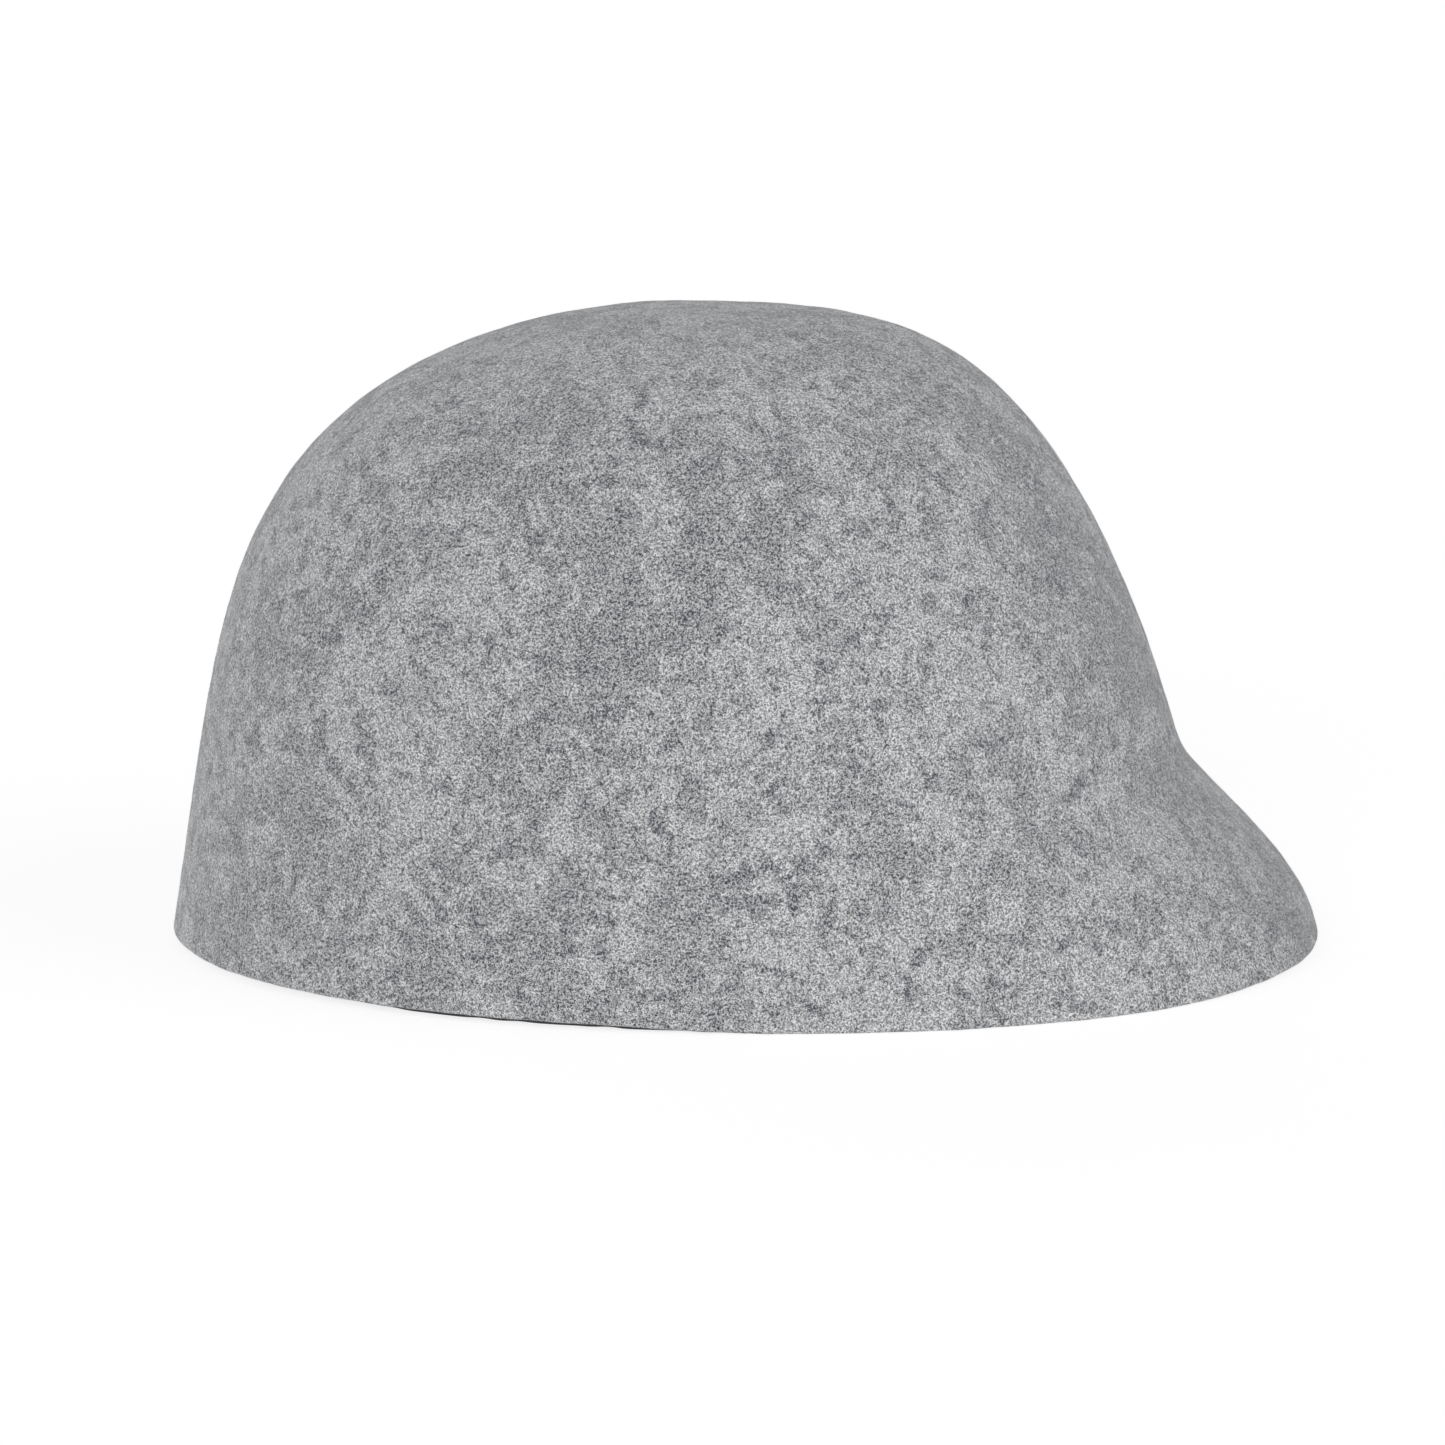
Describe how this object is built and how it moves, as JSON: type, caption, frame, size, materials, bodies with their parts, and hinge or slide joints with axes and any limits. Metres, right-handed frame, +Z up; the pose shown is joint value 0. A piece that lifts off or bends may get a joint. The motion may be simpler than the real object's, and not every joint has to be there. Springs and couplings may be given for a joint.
{
  "type": "felt riding cap",
  "caption": "Riding cap of blocked wool felt with a rounded crown, a short sloping peak in one piece with it, and a ribbon sweatband with a flat bow inside.",
  "frame": {"origin": "centre of the head opening, in the plane of the rim on which the cap rests", "axes": "+X to the front, where the peak is; +Y to the wearer's left; +Z up, out through the top of the crown"},
  "size_m": [0.235, 0.173, 0.1285],
  "materials": {
    "wool_felt": "marled grey wool felt",
    "grosgrain_ribbon": "black ribbed ribbon"
  },
  "bodies": {
    "root": {"felt_body": "wool_felt", "sweatband": "grosgrain_ribbon", "bow_loops": "grosgrain_ribbon", "bow_knot": "grosgrain_ribbon"}
  },
  "joints": []
}
